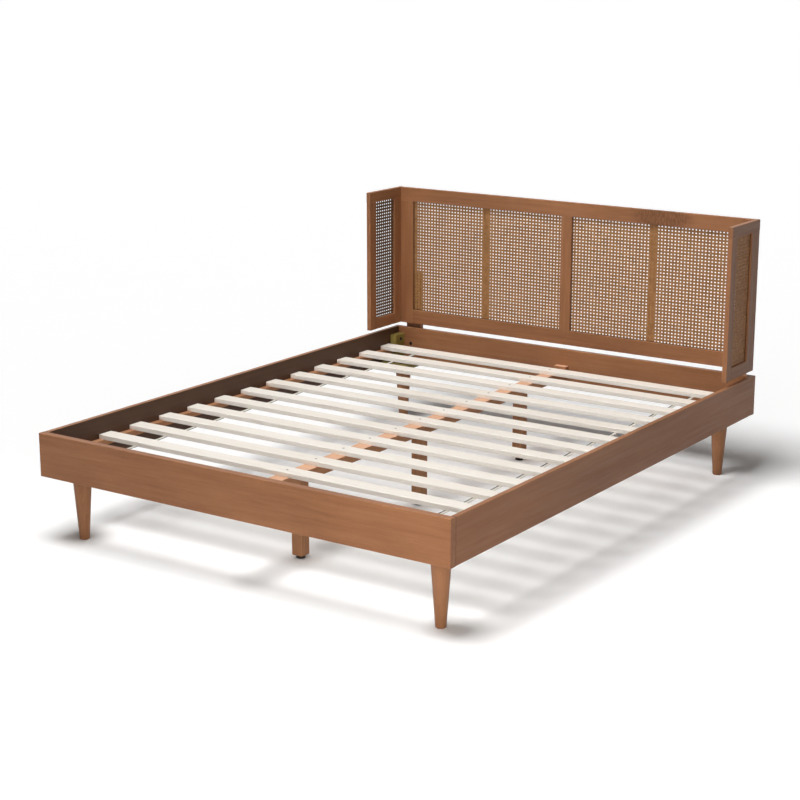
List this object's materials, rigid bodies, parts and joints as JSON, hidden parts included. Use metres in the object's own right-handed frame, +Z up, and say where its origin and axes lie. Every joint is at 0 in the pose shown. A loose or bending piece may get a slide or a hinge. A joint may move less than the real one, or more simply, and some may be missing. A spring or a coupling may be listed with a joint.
{
  "type": "platform bed",
  "caption": "Low platform bed with a slatted deck, tapered legs and a caned headboard that has two caned side wings.",
  "frame": {"origin": "on the floor, under the middle of the bed's outer box", "axes": "+Y along the bed towards the headboard, +Z up, +X to the right when seen from the foot"},
  "size_m": [1.634, 2.132, 0.97],
  "materials": {
    "walnut_wood": "walnut stain under a satin clear coat",
    "support_wood": "lightly stained, plain sawn",
    "block_wood": "bare, aged to a yellowish brown",
    "slat_wood": "bare planed softwood",
    "cane": "woven split cane, stained",
    "webbing": "woven ribbon",
    "black_plastic": "moulded",
    "dark_steel": "black oxide",
    "zinc_steel": "zinc plated"
  },
  "bodies": {
    "root": {"foot_rail": "walnut_wood", "head_rail": "walnut_wood", "side_rail_left": "walnut_wood", "side_rail_right": "walnut_wood", "leg_front_left": "walnut_wood", "leg_front_right": "walnut_wood", "leg_back_left": "walnut_wood", "leg_back_right": "walnut_wood", "headboard_top_rail": "walnut_wood", "headboard_bottom_rail": "walnut_wood", "headboard_centre_stile": "walnut_wood", "headboard_stile_left": "walnut_wood", "headboard_stile_right": "walnut_wood", "headboard_mullion_left": "walnut_wood", "headboard_mullion_right": "walnut_wood", "wing_left_top_rail": "walnut_wood", "wing_left_bottom_rail": "walnut_wood", "wing_left_front_stile": "walnut_wood", "wing_left_back_stile": "walnut_wood", "wing_right_top_rail": "walnut_wood", "wing_right_bottom_rail": "walnut_wood", "wing_right_front_stile": "walnut_wood", "wing_right_back_stile": "walnut_wood", "back_cane_left": "cane", "back_cane_right": "cane", "wing_left_cane": "cane", "wing_right_cane": "cane", "headboard_post_left": "support_wood", "headboard_post_right": "support_wood", "headboard_batten_left": "support_wood", "headboard_batten_right": "support_wood", "corner_blocks": "block_wood", "leg_plates": "block_wood", "centre_beam": "support_wood", "beam_block_foot": "support_wood", "beam_block_head": "support_wood", "slat_ledge_left": "support_wood", "slat_ledge_right": "support_wood", "centre_leg_foot": "support_wood", "centre_leg_middle": "support_wood", "centre_leg_head": "support_wood", "slat_01": "slat_wood", "slat_02": "slat_wood", "slat_03": "slat_wood", "slat_04": "slat_wood", "slat_05": "slat_wood", "slat_06": "slat_wood", "slat_07": "slat_wood", "slat_08": "slat_wood", "slat_09": "slat_wood", "slat_10": "slat_wood", "slat_11": "slat_wood", "slat_12": "slat_wood", "slat_strap_left": "webbing", "slat_strap_right": "webbing", "levelling_feet": "black_plastic", "corner_bolts": "dark_steel", "headboard_bolts": "dark_steel", "leg_bolts": "dark_steel", "slat_screws": "zinc_steel"}
  },
  "joints": []
}
